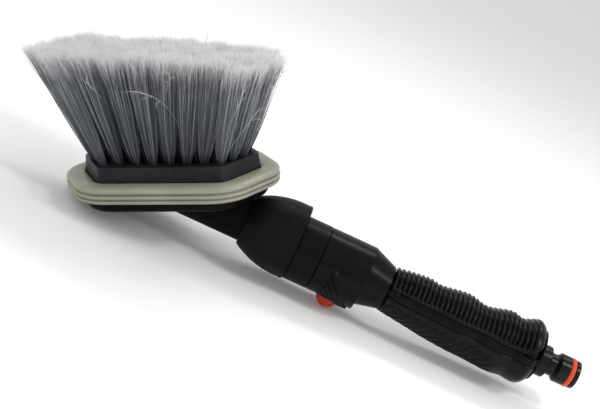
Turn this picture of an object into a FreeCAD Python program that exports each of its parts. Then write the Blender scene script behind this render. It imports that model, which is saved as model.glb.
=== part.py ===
import FreeCAD, Part
import math
import os
import re
import Sketcher
from FreeCAD import Placement, Rotation, Vector

# A water-fed wash brush, in millimetres. The origin is the centre of the nipple's mouth, +X
# points out of the nipple along the handle, and +Z is the bristle side. "back" means the
# distance from the mouth towards the brush head, so a point sits at X = -back.

os.makedirs("parts", exist_ok=True)
doc = FreeCAD.newDocument("wheel_brush")
sheet = doc.addObject("Spreadsheet::Sheet", "dims")

SIZES = {
    # brush head: the leaning frame and the hexagonal block
    "head_lean": 26.7, "head_back": 270.9, "head_height": 19.8,
    "block_half_length": 51.7, "block_half_edge": 35.2, "block_half_width": 29.4,
    "block_depth": 18, "block_draft": 6, "block_corner": 3.5,
    "chamber_depth": 5, "chamber_inset": 8, "jet_radius": 1.5, "jet_spacing": 28.8,
    "screw_along": 37.5, "screw_across": 15.3, "screw_middle": 24.2,
    # bumper round the block
    "bumper_top": 8, "rib_depth": 2.6, "groove_depth": 1.1, "groove_inset": 1.3,
    "bumper_reach": 13, "bumper_corner": 26, "bumper_gap": 2.0,
    # bristle tufts
    "tuft_pitch": 9.6, "row_pitch": 7.5, "hole_radius": 2.2, "hole_depth": 8,
    "bristle_length": 62, "tip_radius": 4.6, "tip_slope": 0.14,
    "toe_lean": 26, "heel_lean": 22, "side_lean": 5,
    # back shell and its neck, on the swivel axis
    "shell_depth": 6, "shell_reach": 5, "shell_corner": 20,
    "neck_radius": 13.5, "neck_start": 273.2, "neck_end": 210.8, "swivel_height": 2.2,
         "channel_radius": 4.6, "tail_radius": 8.5, "tail_back": 225.2,
    "flange_radius": 15.2, "flange_front": 207.5, "spigot_radius": 8, "spigot_front": 189.2,
    "seal_radius": 0.9, "running_gap": 0.05,
    # collar, nose and front ring
    "collar_back": 215.2, "collar_front": 182.3, "collar_tail_radius": 15.6, "collar_lip_radius": 23.1,
    "collar_bow": 52, "nose_radius": 16.5, "nose_back": 204.2,
    "ring_front": 166.9, "ring_back": 182.2, "ring_radius": 19.7, "skirt_radius": 15.4,
         "skirt_front": 162.6,
    # front of the handle body, with the ledge behind the button
    "body_back": 166.8, "body_back_radius": 19.7, "body_front": 138.2, "body_front_radius": 19.7,
    "body_drop": 0.4, "barrel_underside": 20.1, "ledge_radius": 21.3, "ledge_back": 150,
    "ledge_front": 140.6, "ledge_half_width": 9,
    "button_back": 152.7, "bezel_radius": 9.2, "bezel_depth": 3,
    "button_radius": 7.1, "button_bottom": 27, "button_flange_radius": 8.2, "flange_height": 1.2,
    "stem_radius": 2.6, "button_travel": 4,
    # valve block, spool and spring
    "block_tube_radius": 8.4, "block_tube_back": 172.2, "block_tube_front": 133.2,
    "barrel_radius": 8.2, "barrel_bottom": 11.6, "barrel_top": 13, "bore_top": 12,
    "spool_radius": 5.5, "spool_bottom": 11.3, "spool_top": 4.2, "waist_radius": 3.6,
    "waist_bottom": 9.5, "waist_top": 4.6, "spring_radius": 3.9, "spring_wire": 0.45, "spring_turns": 4,
    # grip: a station is how far back it is, its radius above the axis and its radius below
    "foot_back": 123.7, "foot_top": 13.5, "foot_under": 13.5,
    "rise_back": 102.9, "rise_top": 16.1, "rise_under": 15.9,
    "dip_back": 94.7, "dip_top": 15.1, "dip_under": 17.1,
    "belly_back": 77.2, "belly_top": 17.4, "belly_under": 18.4,
    "waist_back": 64.7, "waist_top_radius": 15.3, "waist_under": 18.8,
    "palm_back": 49.7, "palm_top": 18.9, "palm_under": 19.4,
    "neckdown_back": 42.2, "neckdown_top": 17.6, "neckdown_under": 18.4,
    "flare_back": 32.7, "flare_top": 20.9, "flare_under": 18.6,
    "butt_back": 26.7, "butt_top": 17.2, "butt_under": 14.2,
    "pad_thickness": 2.2, "pad_back": 122.7, "pad_front": 27.4, "band_top": 5.4, "band_bottom": 0.8,
    "seam_angle": 11, "core_bore": 8.6, "tube_radius": 6, "tube_wall": 1.4,
    # hose nipple
    "land_radius": 8.5, "land_back": 2.5, "seal_groove_radius": 5.5, "latch_front": 6.4,
         "latch_radius": 8.9,
    "latch_back": 13.6, "nipple_neck_radius": 6.8, "stop_front": 19, "stop_radius": 9.7,
         "stop_back": 25.2,
    "nipple_tail": 41.2, "nipple_bore": 4.4, "nipple_seal_ring": 7.3, "nipple_seal_section": 1.75,
    "filter_back": 20, "filter_thickness": 1.2,
}

for index, (alias, number) in enumerate(SIZES.items(), start=1):
    sheet.set("A%d" % index, alias)
    sheet.set("B%d" % index, str(number))
    sheet.setAlias("B%d" % index, alias)
doc.recompute()

GAP = SIZES["running_gap"]
labels = []


def size(alias):
    """A driving dimension, as the sheet holds it."""
    return float(sheet.get(alias))


def bound(text):
    """The same expression with every alias pointing at the sheet."""
    return re.sub(r"\b([a-z]+_[a-z_]+)\b", r"dims.\1", str(text))


def number(text):
    """What an expression comes to now."""
    return float(sheet.evalExpression(bound(text)))


def keep(piece, label):
    """Mark a finished sub-part: its label names its file."""
    piece.Label = label
    labels.append(piece.Name)
    return piece


def origin_plane(body, role):
    return [item for item in body.Origin.OriginFeatures if item.Role == role][0]


def new_sketch(body, name, role, offset="0"):
    sketch = body.newObject("Sketcher::SketchObject", name)
    sketch.AttachmentSupport = [(origin_plane(body, role), "")]
    sketch.MapMode = "FlatFace"
    sketch.setExpression("AttachmentOffset.Base.z", bound(offset))
    return sketch


def pin_point(sketch, curve, end, across, up):
    """Hold one end of a curve at a place that the sheet gives."""
    for kind, text in (("DistanceX", across), ("DistanceY", up)):
        index = sketch.addConstraint(Sketcher.Constraint(kind, -1, 1, curve, end, number(text)))
        sketch.setExpression("Constraints[%d]" % index, bound(text))


def closed_outline(sketch, corners):
    """Lines through the corners; a corner's third value is the radius of an arc that bows outwards."""
    first = len(sketch.Geometry)
    count = len(corners)
    places = [Vector(number(c[0]), number(c[1]), 0) for c in corners]
    area = sum(a.x * b.y - b.x * a.y for a, b in zip(places, places[1:] + places[:1]))
    clockwise = area < 0
    ends = []
    for i in range(count):
        here, there = places[i], places[(i + 1) % count]
        if len(corners[i]) > 2:
            bow = number(corners[i][2])
            chord = there - here
            inward = Vector(chord.y, -chord.x, 0) if clockwise else Vector(-chord.y, chord.x, 0)
            centre = (here + there) / 2 + inward.normalize() * math.sqrt(bow ** 2 - (chord.Length / 2) ** 2)
            start, stop = (there, here) if clockwise else (here, there)
            angles = [math.atan2(spot.y - centre.y, spot.x - centre.x) for spot in (start, stop)]
            circle = Part.Circle(centre, Vector(0, 0, 1), bow)
            curve = sketch.addGeometry(Part.ArcOfCircle(circle, angles[0], angles[1]), False)
            index = sketch.addConstraint(Sketcher.Constraint("Radius", curve, bow))
            sketch.setExpression("Constraints[%d]" % index, bound(corners[i][2]))
            ends.append((2, 1) if clockwise else (1, 2))
        else:
            sketch.addGeometry(Part.LineSegment(here, there), False)
            ends.append((1, 2))
    for i in range(count):
        after = (i + 1) % count
        sketch.addConstraint(Sketcher.Constraint("Coincident", first + i, ends[i][1], first + after,
                                                 ends[after][0]))
    for i, corner in enumerate(corners):
        pin_point(sketch, first + i, ends[i][0], corner[0], corner[1])


def turned(label, outline, height="0", upright=None):
    """A turned piece on the handle's axis (or, upright, about a vertical axis that far back)."""
    body = doc.addObject("PartDesign::Body", label)
    sketch = new_sketch(body, label + "_outline", "XZ_Plane")
    closed_outline(sketch, outline)
    turn = body.newObject("PartDesign::Revolution", label + "_turn")
    turn.Profile = sketch
    turn.ReferenceAxis = (sketch, ["V_Axis" if upright else "H_Axis"])
    turn.Angle = 360
    if upright:
        body.setExpression("Placement.Base.x", bound("-" + upright))
    body.setExpression("Placement.Base.z", bound(height))
    return body


def along(outline):
    """Corners given as (back, radius) become (x, radius)."""
    return [("-(%s)" % corner[0],) + tuple(corner[1:]) for corner in outline]


# ---------------------------------------------------------------- the leaning head frame

SLANT = "sqrt(block_half_width ^ 2 + (block_half_length - block_half_edge) ^ 2)"


def hexagon(offset):
    """The block's plan, moved outwards by the offset: vertices at toe and heel, long sides between."""
    length = "(block_half_length + (%s) * %s / block_half_width)" % (offset, SLANT)
    shift = "(%s - block_half_length + block_half_edge) / block_half_width" % SLANT
    edge = "(block_half_edge + (%s) * %s)" % (offset, shift)
    width = "(block_half_width + (%s))" % offset
    return [("-" + length, "0"), ("-" + edge, width), (edge, width),
            (length, "0"), (edge, "-" + width), ("-" + edge, "-" + width)]


def lean(piece):
    """Stand a piece made on the head's own axes in its leaning place."""
    piece.Placement = Placement(Vector(), Rotation(Vector(0, 1, 0), -size("head_lean")))
    piece.setExpression("Placement.Base.x", bound("-head_back"))
    piece.setExpression("Placement.Base.z", bound("head_height"))


def layer(body, name, offset, top, depth, draft="0"):
    """One slab of the hexagon, from its top downwards."""
    sketch = new_sketch(body, name + "_plan", "XY_Plane", "-(%s)" % top)
    closed_outline(sketch, hexagon(offset))
    pad = body.newObject("PartDesign::Pad", name)
    pad.Profile = sketch
    pad.Reversed = True
    pad.setExpression("Length", bound(depth))
    pad.setExpression("TaperAngle", bound(draft))
    doc.recompute()
    return pad


def sink(body, name, offset, top, depth):
    """Cut the hexagon out, from its top downwards."""
    sketch = new_sketch(body, name + "_plan", "XY_Plane", "-(%s)" % top)
    closed_outline(sketch, hexagon(offset))
    before = body.Shape.Volume
    pocket = body.newObject("PartDesign::Pocket", name)
    pocket.Profile = sketch
    pocket.setExpression("Length", bound(depth))
    doc.recompute()
    if body.Shape.Volume >= before - 1:
        raise RuntimeError(name + " cut nothing")
    return pocket


def round_edges(body, name, radius, wanted):
    """Fillet the edges of the tip that a test picks."""
    doc.recompute()
    tip = body.Tip
    picked = ["Edge%d" % (i + 1) for i, edge in enumerate(tip.Shape.Edges) if wanted(edge)]
    feature = body.newObject("PartDesign::Fillet", name)
    feature.Base = (tip, picked)
    feature.setExpression("Radius", bound(radius))
    body.Tip = feature
    doc.recompute()


def upright_edge(edge):
    box = edge.BoundBox
    return box.ZLength > 0.9 and box.ZLength > 3 * max(box.XLength, box.YLength)


# tuft places: seven rows along the head, each centred, with odd rows half a pitch along
ROWS = [(-3, 8), (-2, 9), (-1, 10), (0, 9), (1, 10), (2, 9), (3, 8)]


def tuft_places(row, count):
    """Where a row's tufts leave the block, on the head's own axes."""
    across = row * size("row_pitch")
    return [((i - (count - 1) / 2) * size("tuft_pitch"), across) for i in range(count)]


def block():
    body = doc.addObject("PartDesign::Body", "brush_block")
    layer(body, "block_pad", "0", "0", "block_depth", "block_draft")
    round_edges(body, "block_corners", "block_corner", upright_edge)
    holes = new_sketch(body, "tuft_holes", "XY_Plane")
    for row, count in ROWS:
        for across, up in tuft_places(row, count):
            holes.addGeometry(Part.Circle(Vector(across, up, 0), Vector(0, 0, 1), size("hole_radius")),
                              False)
    pocket = body.newObject("PartDesign::Pocket", "tuft_sockets")
    pocket.Profile = holes
    pocket.setExpression("Length", bound("hole_depth"))
    doc.recompute()
    sink(body, "water_chamber", "-chamber_inset", "block_depth - chamber_depth", "chamber_depth + 1")
    jets = new_sketch(body, "jet_holes", "XY_Plane")
    for side in (-0.5, 0.5):
        for step in (-1, 0, 1):
            spot = Vector(step * size("jet_spacing"), side * size("row_pitch"), 0)
            jets.addGeometry(Part.Circle(spot, Vector(0, 0, 1), size("jet_radius")), False)
    jet_cut = body.newObject("PartDesign::Pocket", "water_jets")
    jet_cut.Profile = jets
    jet_cut.setExpression("Length", bound("block_depth"))
    doc.recompute()
    drill_screws(body, "pilot_holes", 1.52, "-block_depth", "block_depth - hole_depth - 1")
    lean(body)
    return keep(body, "brush_block")


def drill_screws(body, name, radius, start, depth):
    """Holes for the screws, upwards from a level of the head."""
    sketch = new_sketch(body, name + "_plan", "XY_Plane", start)
    for across, up in screw_places():
        sketch.addGeometry(Part.Circle(Vector(across, up, 0), Vector(0, 0, 1), radius), False)
    before = body.Shape.Volume
    pocket = body.newObject("PartDesign::Pocket", name)
    pocket.Profile = sketch
    pocket.Reversed = True
    pocket.setExpression("Length", bound(depth))
    doc.recompute()
    if body.Shape.Volume >= before - 1:
        raise RuntimeError(name + " cut nothing")


def bumper():
    """Three ribs with two grooves between them, bored out to fit round the block."""
    body = doc.addObject("PartDesign::Body", "bumper")
    top = "bumper_top"
    depth = "3 * rib_depth + 2 * groove_depth"
    layer(body, "bumper_core", "bumper_reach - groove_inset", top, depth)
    round_edges(body, "core_corners", "bumper_corner - groove_inset", upright_edge)
    for index in range(3):
        start = "%s + %d * (rib_depth + groove_depth)" % (top, index)
        sketch = new_sketch(body, "rib_%d_plan" % index, "XY_Plane", "-(%s)" % start)
        closed_outline(sketch, hexagon("bumper_reach"))
        rib = body.newObject("PartDesign::Pad", "rib_%d" % index)
        rib.Profile = sketch
        rib.Reversed = True
        rib.setExpression("Length", bound("rib_depth"))
        doc.recompute()
        reach = number("block_half_width + bumper_reach") - 0.01
        round_edges(body, "rib_%d_corners" % index, "bumper_corner",
                    lambda edge: upright_edge(edge) and rib_corner(edge, reach))
    sink(body, "bumper_bore", "bumper_gap", top, depth + " + 1")
    lean(body)
    return keep(body, "bumper")


def rib_corner(edge, reach):
    """Whether an upright edge is one of the sharp outer corners of a new rib."""
    spot = edge.BoundBox.Center
    toe = number(hexagon("bumper_reach")[3][0])
    corner = number(hexagon("bumper_reach")[2][0])
    at_toe = abs(abs(spot.x) - toe) < 0.01 and abs(spot.y) < 0.01
    at_corner = abs(abs(spot.x) - corner) < 0.01 and abs(abs(spot.y) - reach - 0.01) < 0.02
    return at_toe or at_corner


def gasket():
    body = doc.addObject("PartDesign::Body", "chamber_gasket")
    layer(body, "gasket_pad", "-2", "block_depth", "1")
    sink(body, "gasket_hole", "-chamber_inset + 1", "block_depth", "2")
    drill_screws(body, "gasket_screw_holes", 1.7, "-block_depth - 2", "3")
    lean(body)
    return keep(body, "chamber_gasket")


def back_shell():
    """A shallow dish under the bumper, with the neck running out of it along the swivel axis."""
    dish = doc.addObject("PartDesign::Body", "dish")
    layer(dish, "dish_pad", "bumper_gap + shell_reach", "block_depth + 1", "shell_depth", "-22")
    round_edges(dish, "dish_corners", "shell_corner", lambda edge: edge.BoundBox.ZLength > 4)
    floor = -number("block_depth + 1 + shell_depth") + 0.01
    round_edges(dish, "dish_floor", "4", lambda edge: edge.BoundBox.ZMax < floor)
    drill_screws(dish, "shell_screw_holes", 1.7, "-block_depth - shell_depth - 2", "shell_depth + 2")
    seats = new_sketch(dish, "screw_seats_plan", "XY_Plane", "-block_depth - shell_depth - 2")
    for across, up in screw_places():
        seats.addGeometry(Part.Circle(Vector(across, up, 0), Vector(0, 0, 1), 3.4), False)
    seat_cut = dish.newObject("PartDesign::Pocket", "screw_seats")
    seat_cut.Profile = seats
    seat_cut.Reversed = True
    seat_cut.Length = 1.6
    lean(dish)
    neck = turned("neck", along([("neck_start", "0"), ("neck_start", "neck_radius"),
                                 ("neck_end", "neck_radius"), ("neck_end", "0")]), "swivel_height")
    whole = doc.addObject("Part::MultiFuse", "dish_and_neck")
    whole.Shapes = [dish, neck]
    above = doc.addObject("Part::Box", "space_above_shell")
    above.setExpression("Length", bound("4 * block_half_length"))
    above.setExpression("Width", bound("4 * block_half_width"))
    above.setExpression("Height", bound("3 * block_depth"))
    turn = Rotation(Vector(0, 1, 0), -size("head_lean"))
    corner = Vector(-2 * size("block_half_length"), -2 * size("block_half_width"),
                    -size("block_depth") - 1)
    above.Placement = Placement(Vector(-size("head_back"), 0,
                                       size("head_height")) + turn.multVec(corner), turn)
    trimmed = doc.addObject("Part::Cut", "trimmed_shell")
    trimmed.Base = whole
    trimmed.Tool = above
    channel = turned("neck_channel", along([("neck_start - 10", "0"),
                                            ("neck_start - 10", "channel_radius"),
                                            ("tail_back", "channel_radius"),
                                            ("tail_back", "tail_radius"),
                                            ("neck_end - 1", "tail_radius"), ("neck_end - 1", "0")]),
                     "swivel_height")
    shell = doc.addObject("Part::Cut", "back_shell")
    shell.Base = trimmed
    shell.Tool = channel
    return keep(shell, "back_shell")


def screw_places():
    """Where the six screws stand, on the head's own axes."""
    long, short, middle = size("screw_along"), size("screw_across"), size("screw_middle")
    return [(step * long, side * (short if step else middle)) for step in (-1, 0, 1) for side in (-1, 1)]


def shell_screws():
    """Six pan-head screws up through the shell into the block, as one group."""
    group = doc.addObject("Part::Feature", "shell_screws")
    depth = size("block_depth") + 1 + size("shell_depth")
    screws = []
    for across, up in screw_places():
        foot = Vector(across, up, -depth - 1)
        head = Part.makeCylinder(3.2, 1.6, foot)
        shank = Part.makeCylinder(1.5, 12, foot + Vector(0, 0, 1.6))
        slot = Part.makeBox(4.4, 0.9, 0.8, foot - Vector(2.2, 0.45, 0))
        cross = Part.makeBox(0.9, 4.4, 0.8, foot - Vector(0.45, 2.2, 0))
        screws.append(head.fuse(shank).cut(slot).cut(cross))
    group.Shape = Part.makeCompound(screws)
    lean(group)
    return keep(group, "shell_screws")


def tuft(across, up):
    """One tuft: a plug in its hole, then a sheared cone that leans outwards."""
    half = size("block_half_length")
    share = across / half
    lean_along = size("heel_lean") if share > 0 else size("toe_lean")
    height = size("bristle_length") * (1 - size("tip_slope") * share)
    shift_x = height * math.tan(math.radians(lean_along)) * share
    shift_y = height * math.tan(math.radians(size("side_lean"))) * up / size("block_half_width")
    root = size("hole_radius") - GAP
    plug = Part.makeCylinder(root, size("hole_depth") - 0.1, Vector(across, up,
                                                                    0.1 - size("hole_depth")))
    low = Part.Wire(Part.makeCircle(root, Vector(across, up, 0)))
    high = Part.Wire(Part.makeCircle(size("tip_radius"), Vector(across + shift_x, up + shift_y, height)))
    return plug.fuse(Part.makeLoft([low, high], True, True))


def tuft_rows():
    for index, (row, count) in enumerate(ROWS, start=1):
        name = "tuft_row_%d" % index
        group = doc.addObject("Part::Feature", name)
        group.Shape = Part.makeCompound([tuft(across, up) for across, up in tuft_places(row, count)])
        lean(group)
        keep(group, name)


def swivel_spigot():
    """Tail pressed into the neck, thrust flange, and a spigot with two seal grooves."""
    floor = "(spigot_radius - 2 * seal_radius)"
    outline = [("tail_back", "channel_radius"), ("tail_back", "tail_radius"),
               ("neck_end", "tail_radius"),
               ("neck_end", "flange_radius"), ("flange_front", "flange_radius"),
               ("flange_front", "spigot_radius")]
    for place in ("spigot_front + 9", "spigot_front + 4"):
        outline += [("%s + seal_radius" % place, "spigot_radius"), ("%s + seal_radius" % place, floor),
                    ("%s - seal_radius" % place, floor), ("%s - seal_radius" % place, "spigot_radius")]
    outline += [("spigot_front", "spigot_radius"), ("spigot_front", "channel_radius")]
    return keep(turned("swivel_spigot", along(outline), "swivel_height"), "swivel_spigot")


def rings(name, places, ring_radius, section, height, upright=False):
    """Seal rings as one group of separate solids, round the handle's axis or a vertical one."""
    made = []
    for back, level in places:
        axis = Vector(0, 0, 1) if upright else Vector(1, 0, 0)
        made.append(Part.makeTorus(ring_radius, section, Vector(-back, 0, level + height), axis))
    group = doc.addObject("Part::Feature", name)
    group.Shape = Part.makeCompound(made)
    return keep(group, name)


def lock_collar():
    """Bowed conical union nut: a shoulder behind the flange, then the threaded part."""
    thread = "nose_radius + 0.1"
    pocket = "flange_radius + 0.15"
    shoulder = "neck_end + 0.1"
    outline = [("collar_back", "neck_radius + 0.15"), ("collar_back", "collar_tail_radius - 0.8"),
               ("collar_back - 0.8", "collar_tail_radius", "collar_bow"),
               ("collar_front + 3", "collar_lip_radius - 0.25"),
               ("collar_front + 0.8", "collar_lip_radius"),
               ("collar_front", "collar_lip_radius - 0.8"), ("collar_front", thread),
               ("nose_back + 0.1", thread), ("nose_back + 0.1", pocket), (shoulder, pocket),
               (shoulder, "neck_radius + 0.15")]
    return keep(turned("lock_collar", along(outline), "swivel_height"), "lock_collar")


def friction_washer():
    outline = [("flange_front - running_gap", "spigot_radius + 0.3"),
               ("flange_front - running_gap", "flange_radius - 0.5"),
               ("nose_back", "flange_radius - 0.5"), ("nose_back", "spigot_radius + 0.3")]
    return keep(turned("friction_washer", along(outline), "swivel_height"), "friction_washer")


def front_ring():
    """The nose and its bore lie on the swivel axis, the skirt and the valve's socket on the grip's axis."""
    nose = turned("nose", along([("nose_back", "0"), ("nose_back", "nose_radius - 0.8"),
                                 ("nose_back - 0.8", "nose_radius"), ("ring_back - 2", "nose_radius"),
                                 ("ring_back - 2", "0")]), "swivel_height")
    ring = turned("ring", along([("ring_back", "0"), ("ring_back", "ring_radius - 0.6"),
                                 ("ring_back - 0.6", "ring_radius"), ("ring_front + 0.4", "ring_radius"),
                                 ("ring_front", "ring_radius - 0.4"), ("ring_front", "0")]), "-body_drop")
    skirt = turned("skirt", along([("ring_front + 2", "0"), ("ring_front + 2", "skirt_radius"),
                                   ("skirt_front", "skirt_radius"), ("skirt_front", "0")]))
    both = doc.addObject("Part::MultiFuse", "nose_and_ring")
    both.Shapes = [nose, ring, skirt]
    bore = turned("spigot_bore", along([("nose_back + 1", "0"),
                                        ("nose_back + 1", "spigot_radius + running_gap"),
                                        ("spigot_front - 1.5", "spigot_radius + running_gap"),
                                        ("spigot_front - 1.5", "channel_radius"),
                                        ("block_tube_back + 1", "channel_radius"),
                                        ("block_tube_back + 1", "0")]), "swivel_height")
    socket = turned("valve_socket", along([("block_tube_back + 1.5", "0"),
                                           ("block_tube_back + 1.5", "block_tube_radius + 0.05"),
                                           ("skirt_front - 1", "block_tube_radius + 0.05"),
                                           ("skirt_front - 1", "0")]))
    first = doc.addObject("Part::Cut", "ring_with_bore")
    first.Base = both
    first.Tool = bore
    last = doc.addObject("Part::Cut", "front_ring")
    last.Base = first
    last.Tool = socket
    return keep(last, "front_ring")


# ---------------------------------------------------------------- the handle

STATIONS = ["foot", "rise", "dip", "belly", "waist", "palm", "neckdown", "flare", "butt"]


def station(name):
    """How far back a grip station is, and its radii above and below the axis."""
    top = "waist_top_radius" if name == "waist" else name + "_top"
    return size(name + "_back"), size(top), size(name + "_under")


def eased(rows, column, share):
    """A smooth value between the middle two of four stations."""
    span = rows[2][0] - rows[1][0]
    into = (rows[2][column] - rows[0][column]) / (rows[2][0] - rows[0][0]) * span
    onward = (rows[3][column] - rows[1][column]) / (rows[3][0] - rows[1][0]) * span
    square, cube = share ** 2, share ** 3
    return ((2 * cube - 3 * square + 1) * rows[1][column] + (cube - 2 * square + share) * into
            + (3 * square - 2 * cube) * rows[2][column] + (cube - square) * onward)


def grip_sections():
    """Close sections along the grip, eased through its stations."""
    rows = [station(name) for name in STATIONS]
    made = []
    for i in range(len(rows) - 1):
        four = [rows[max(0, i - 1)], rows[i], rows[i + 1], rows[min(len(rows) - 1, i + 2)]]
        parts = 3 if four[1][0] - four[2][0] > 8 else 2
        for step in range(parts):
            share = step / parts
            back = four[1][0] + (four[2][0] - four[1][0]) * share
            made.append((back, eased(four, 1, share), eased(four, 2, share)))
    made.append(rows[-1])
    return made


def ring_wire(back, top, under, inset=0.0):
    """A round section whose top and bottom are the given distances from the axis."""
    tilt = math.radians(size("seam_angle"))
    turn = Rotation(Vector(0, math.cos(tilt), math.sin(tilt)), Vector(), Vector(1, 0, 0), "XZY")
    circle = Part.makeCircle((top + under) / 2 - inset)
    circle.Placement = Placement(Vector(-back, 0, (top - under) / 2), turn)
    return Part.Wire(circle)


def grip_solid(inset=0.0):
    """The grip's outer form, or the core that lies the inset below it."""
    return Part.makeLoft([ring_wire(*section, inset) for section in grip_sections()], True, False)


def shape_object(name, shape):
    made = doc.addObject("Part::Feature", name)
    made.Shape = shape
    return made


def slab(name, back_high, back_low, low, high):
    """A box across the grip between two levels."""
    box = doc.addObject("Part::Box", name)
    box.Length = number(back_high) - number(back_low)
    box.Width = 60
    box.Height = number(high) - number(low)
    box.Placement.Base = Vector(-number(back_high), -30, number(low))
    return box


def grip_pads(outer, core):
    """The soft layer between the outer form and the core, above and below the plain side band."""
    made = []
    for label, low, high in (("grip_ribbed_pad", "band_top", "30"),
                             ("grip_lower_pad", "-30", "band_bottom")):
        layer_cut = doc.addObject("Part::Cut", label + "_layer")
        layer_cut.Base = outer
        layer_cut.Tool = core
        zone = slab(label + "_zone", "pad_back", "pad_front", low, high)
        pad = doc.addObject("Part::Common", label)
        pad.Base = layer_cut
        pad.Tool = zone
        made.append(keep(pad, label))
    return made


def handle_body(outer, pads):
    """Front barrel with its ledge, conical shoulder, and the grip less its soft pads."""
    barrel = turned("barrel", along([("body_back", "0"), ("body_back", "body_back_radius - 0.4"),
                                     ("body_back - 0.4", "body_back_radius"),
                                     ("body_front", "body_front_radius"),
                                     ("body_front", "0")]), "-body_drop")
    foot = ring_wire(size("foot_back"), size("foot_top"), size("foot_under"))
    drop = size("body_drop")
    shoulder_top = ring_wire(size("body_front"), size("body_front_radius") - drop,
                             size("body_front_radius") - 3)
    shoulder = shape_object("shoulder", Part.makeLoft([shoulder_top, foot], True, True))
    tube = turned("ledge_tube", along([("ledge_back", "0"), ("ledge_back", "ledge_radius - 1"),
                                       ("ledge_back - 3", "ledge_radius"),
                                       ("ledge_front", "ledge_radius - 0.2"),
                                       ("ledge_front", "0")]), "-body_drop")
    zone = doc.addObject("Part::Box", "ledge_zone")
    zone.setExpression("Length", bound("ledge_back - ledge_front + 2"))
    zone.setExpression("Width", bound("2 * ledge_half_width"))
    zone.setExpression("Height", bound("ledge_radius"))
    zone.setExpression("Placement.Base.x", bound("-ledge_back - 1"))
    zone.setExpression("Placement.Base.y", bound("-ledge_half_width"))
    zone.setExpression("Placement.Base.z", bound("-ledge_radius - 5"))
    ledge = doc.addObject("Part::Common", "ledge")
    ledge.Base = tube
    ledge.Tool = zone
    grip = outer
    for pad in pads:
        rest = doc.addObject("Part::Cut", "grip_without_" + pad.Label)
        rest.Base = grip
        rest.Tool = pad
        grip = rest
    whole = doc.addObject("Part::MultiFuse", "handle_solid")
    whole.Shapes = [barrel, shoulder, ledge, grip]
    hollow = turned("handle_hollow", along([("body_back + 1", "0"),
                                            ("body_back + 1", "skirt_radius + 0.1"),
                                            ("body_front + 5", "skirt_radius + 0.1"),
                                            ("foot_back + 4", "core_bore"),
                                            ("butt_back - 1", "core_bore"), ("butt_back - 1", "0")]))
    well = turned("button_well", [("0", "-barrel_underside - 3"),
                                  ("bezel_radius", "-barrel_underside - 3"),
                                  ("bezel_radius", "-barrel_underside + bezel_depth"),
                                  ("button_flange_radius + 0.3", "-barrel_underside + bezel_depth"),
                                  ("button_flange_radius + 0.3", "-barrel_bottom"),
                                  ("0", "-barrel_bottom")],
                  upright="button_back")
    opened = doc.addObject("Part::Cut", "handle_opened")
    opened.Base = whole
    opened.Tool = hollow
    last = doc.addObject("Part::Cut", "handle_body")
    last.Base = opened
    last.Tool = well
    return keep(last, "handle_body")


def button_parts():
    """Bezel, dome button, spool and spring, all about the button's vertical axis."""
    bezel_top = "-barrel_underside + bezel_depth"
    hoop = turned("bezel_hoop", [("button_radius + 0.1", "-barrel_underside - 2"),
                                 ("bezel_radius - 0.05", "-barrel_underside - 2"),
                                 ("bezel_radius - 0.05", bezel_top), ("button_radius + 0.1", bezel_top)],
                  upright="button_back")
    flush = turned("bezel_trim", along([("body_back", "0"), ("body_back", "body_back_radius"),
                                        ("body_front", "body_front_radius"), ("body_front", "0")]),
                   "-body_drop")
    bezel = doc.addObject("Part::Common", "button_bezel")
    bezel.Base = hoop
    bezel.Tool = flush
    keep(bezel, "button_bezel")
    seat = "-barrel_underside + bezel_depth + 0.05"
    dome = "(button_bottom - barrel_underside - 0.4)"
    bow = "(button_radius ^ 2 + %s ^ 2) / (2 * %s)" % (dome, dome)
    button = turned("valve_button", [("0", "-button_bottom", bow),
                                     ("button_radius", "-barrel_underside - 0.4"),
                                     ("button_radius", seat), ("button_flange_radius", seat),
                                     ("button_flange_radius", seat + " + flange_height"),
                                     ("stem_radius", seat + " + flange_height"),
                                     ("stem_radius", "-waist_bottom + 2.4"), ("0", "-waist_bottom + 2.4")],
                    upright="button_back")
    keep(button, "valve_button")
    groove = "(spool_radius - 1.75)"
    spool = turned("valve_spool", [("0", "-waist_bottom + 2.45"),
                                   ("stem_radius + 0.02", "-waist_bottom + 2.45"),
                                   ("stem_radius + 0.02", "-spool_bottom"),
                                   ("spool_radius", "-spool_bottom"),
                                   ("spool_radius", "-waist_bottom"), ("waist_radius", "-waist_bottom"),
                                   ("waist_radius", "-waist_top"), ("spool_radius", "-waist_top"),
                                   ("spool_radius", "spool_top - 2.9"), (groove, "spool_top - 2.9"),
                                   (groove, "spool_top - 1.1"), ("spool_radius", "spool_top - 1.1"),
                                   ("spool_radius", "spool_top"), ("0", "spool_top")],
                   upright="button_back")
    keep(spool, "valve_spool")
    rings("spool_o_rings", [(size("button_back"), size("spool_top") - 2)], size("spool_radius") - 0.87,
          0.85, 0, True)
    helix = doc.addObject("Part::Helix", "spring_path")
    wire = "spring_wire"
    rise = "(bore_top - spool_top - 2 * spring_wire - 0.1)"
    helix.setExpression("Radius", bound("spring_radius"))
    helix.setExpression("Height", bound(rise))
    helix.setExpression("Pitch", bound(rise + " / spring_turns"))
    helix.setExpression("Placement.Base.x", bound("-button_back"))
    helix.setExpression("Placement.Base.z", bound("spool_top + spring_wire + 0.05"))
    section = doc.addObject("Part::Circle", "spring_section")
    section.setExpression("Radius", bound(wire))
    section.Placement = Placement(Vector(), Rotation(Vector(1, 0, 0), 90))
    section.setExpression("Placement.Base.x", bound("-button_back + spring_radius"))
    section.setExpression("Placement.Base.z", bound("spool_top + spring_wire + 0.05"))
    spring = doc.addObject("Part::Sweep", "valve_spring")
    spring.Sections = [section]
    spring.Spine = (helix, [])
    spring.Solid = True
    spring.Frenet = True
    return keep(spring, "valve_spring")


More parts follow.
